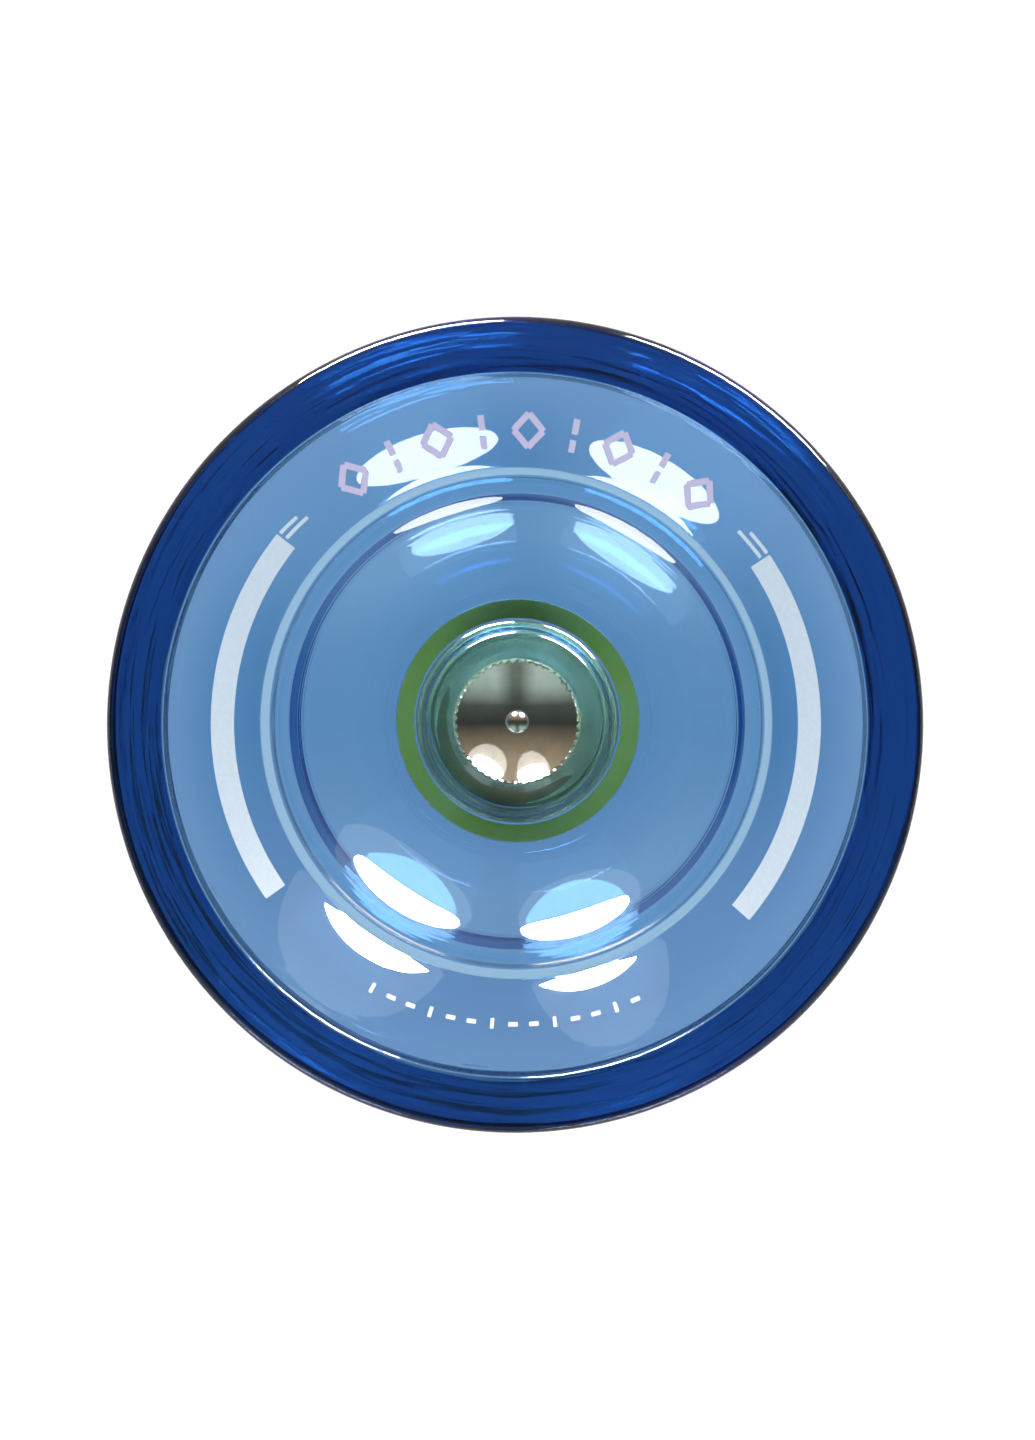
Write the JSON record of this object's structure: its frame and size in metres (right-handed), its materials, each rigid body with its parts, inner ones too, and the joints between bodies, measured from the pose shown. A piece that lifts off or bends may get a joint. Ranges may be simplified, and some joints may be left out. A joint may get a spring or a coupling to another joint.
{
  "type": "yo-yo",
  "caption": "Butterfly yo-yo: two clear blue cupped halves screwed together on a steel axle, with a shielded ball bearing, silicone pads and knurled steel hubs.",
  "frame": {"origin": "centre of the bearing, on the spin axis midway between the two rims", "axes": "+Z along the spin axis, out of the printed upper half; the yo-yo lies flat on its lower rim; X and Y are equal, with the print's top towards +Y"},
  "size_m": [0.058, 0.058, 0.041],
  "materials": {
    "clear_blue_plastic": "clear injection-moulded polycarbonate tinted blue, polished all over",
    "hub_steel": "turned and polished steel",
    "pad_silicone": "cast yellow silicone, slightly tacky",
    "axle_steel": "dull zinc-plated screw thread",
    "bearing_steel": "ground bearing steel with a thin gold-coloured plating",
    "ball_steel": "mirror-polished bearing balls",
    "cage_steel": "stamped steel",
    "shield_steel": "pressed steel with the same gold-coloured plating, satin",
    "ring_steel": "spring steel wire",
    "print_ink": "thin pad-printed ink"
  },
  "bodies": {
    "lower_half": {"lower_half_body": "clear_blue_plastic", "lower_hub_nut": "hub_steel", "lower_response_pad": "pad_silicone", "axle_screw": "axle_steel", "bearing_inner_race": "bearing_steel"},
    "upper_pad_ring": {"upper_response_pad": "pad_silicone"},
    "upper_half": {"upper_half_body": "clear_blue_plastic", "upper_hub_nut": "hub_steel"},
    "bearing_outer": {"bearing_outer_race": "bearing_steel", "lower_bearing_shield": "shield_steel", "upper_bearing_shield": "shield_steel", "lower_snap_ring": "ring_steel", "upper_snap_ring": "ring_steel"},
    "bearing_cage": {"bearing_cage": "cage_steel"},
    "ball_1": {"bearing_ball_1": "ball_steel"},
    "ball_2": {"bearing_ball_2": "ball_steel"},
    "ball_3": {"bearing_ball_3": "ball_steel"},
    "ball_4": {"bearing_ball_4": "ball_steel"},
    "ball_5": {"bearing_ball_5": "ball_steel"},
    "ball_6": {"bearing_ball_6": "ball_steel"},
    "ball_7": {"bearing_ball_7": "ball_steel"},
    "ball_8": {"bearing_ball_8": "ball_steel"},
    "ball_9": {"bearing_ball_9": "ball_steel"},
    "ball_10": {"bearing_ball_10": "ball_steel"}
  },
  "joints": [
    {"name": "half_lift", "type": "slide", "parent": "lower_half", "child": "upper_pad_ring", "axis": [0, 0, 1], "range_m": [0, 0.007]},
    {"name": "half_unscrew", "type": "hinge", "parent": "upper_pad_ring", "child": "upper_half", "pos_m": [0, 0, 0], "axis": [0, 0, 1], "range_deg": [0, 3600]},
    {"name": "bearing_spin", "type": "hinge", "parent": "lower_half", "child": "bearing_outer", "pos_m": [0, 0, 0], "axis": [0, 0, 1], "continuous": true},
    {"name": "cage_spin", "type": "hinge", "parent": "lower_half", "child": "bearing_cage", "pos_m": [0, 0, 0], "axis": [0, 0, 1], "continuous": true},
    {"name": "ball_1_spin", "type": "hinge", "parent": "bearing_cage", "child": "ball_1", "pos_m": [0.00476, 0, 0], "axis": [0, 0, 1], "continuous": true},
    {"name": "ball_2_spin", "type": "hinge", "parent": "bearing_cage", "child": "ball_2", "pos_m": [0.00385, 0.0028, 0], "axis": [0, 0, 1], "continuous": true},
    {"name": "ball_3_spin", "type": "hinge", "parent": "bearing_cage", "child": "ball_3", "pos_m": [0.00147, 0.00453, 0], "axis": [0, 0, 1], "continuous": true},
    {"name": "ball_4_spin", "type": "hinge", "parent": "bearing_cage", "child": "ball_4", "pos_m": [-0.00147, 0.00453, 0], "axis": [0, 0, 1], "continuous": true},
    {"name": "ball_5_spin", "type": "hinge", "parent": "bearing_cage", "child": "ball_5", "pos_m": [-0.00385, 0.0028, 0], "axis": [0, 0, 1], "continuous": true},
    {"name": "ball_6_spin", "type": "hinge", "parent": "bearing_cage", "child": "ball_6", "pos_m": [-0.00476, 0, 0], "axis": [0, 0, 1], "continuous": true},
    {"name": "ball_7_spin", "type": "hinge", "parent": "bearing_cage", "child": "ball_7", "pos_m": [-0.00385, -0.0028, 0], "axis": [0, 0, 1], "continuous": true},
    {"name": "ball_8_spin", "type": "hinge", "parent": "bearing_cage", "child": "ball_8", "pos_m": [-0.00147, -0.00453, 0], "axis": [0, 0, 1], "continuous": true},
    {"name": "ball_9_spin", "type": "hinge", "parent": "bearing_cage", "child": "ball_9", "pos_m": [0.00147, -0.00453, 0], "axis": [0, 0, 1], "continuous": true},
    {"name": "ball_10_spin", "type": "hinge", "parent": "bearing_cage", "child": "ball_10", "pos_m": [0.00385, -0.0028, 0], "axis": [0, 0, 1], "continuous": true}
  ],
  "couplings": [
    {"joint": "half_unscrew", "follows": "half_lift", "rad_per_m": 8976},
    {"joint": "cage_spin", "follows": "bearing_spin", "ratio": 0.58333},
    {"joint": "ball_1_spin", "follows": "bearing_spin", "ratio": 2.9167},
    {"joint": "ball_2_spin", "follows": "bearing_spin", "ratio": 2.9167},
    {"joint": "ball_3_spin", "follows": "bearing_spin", "ratio": 2.9167},
    {"joint": "ball_4_spin", "follows": "bearing_spin", "ratio": 2.9167},
    {"joint": "ball_5_spin", "follows": "bearing_spin", "ratio": 2.9167},
    {"joint": "ball_6_spin", "follows": "bearing_spin", "ratio": 2.9167},
    {"joint": "ball_7_spin", "follows": "bearing_spin", "ratio": 2.9167},
    {"joint": "ball_8_spin", "follows": "bearing_spin", "ratio": 2.9167},
    {"joint": "ball_9_spin", "follows": "bearing_spin", "ratio": 2.9167},
    {"joint": "ball_10_spin", "follows": "bearing_spin", "ratio": 2.9167}
  ]
}
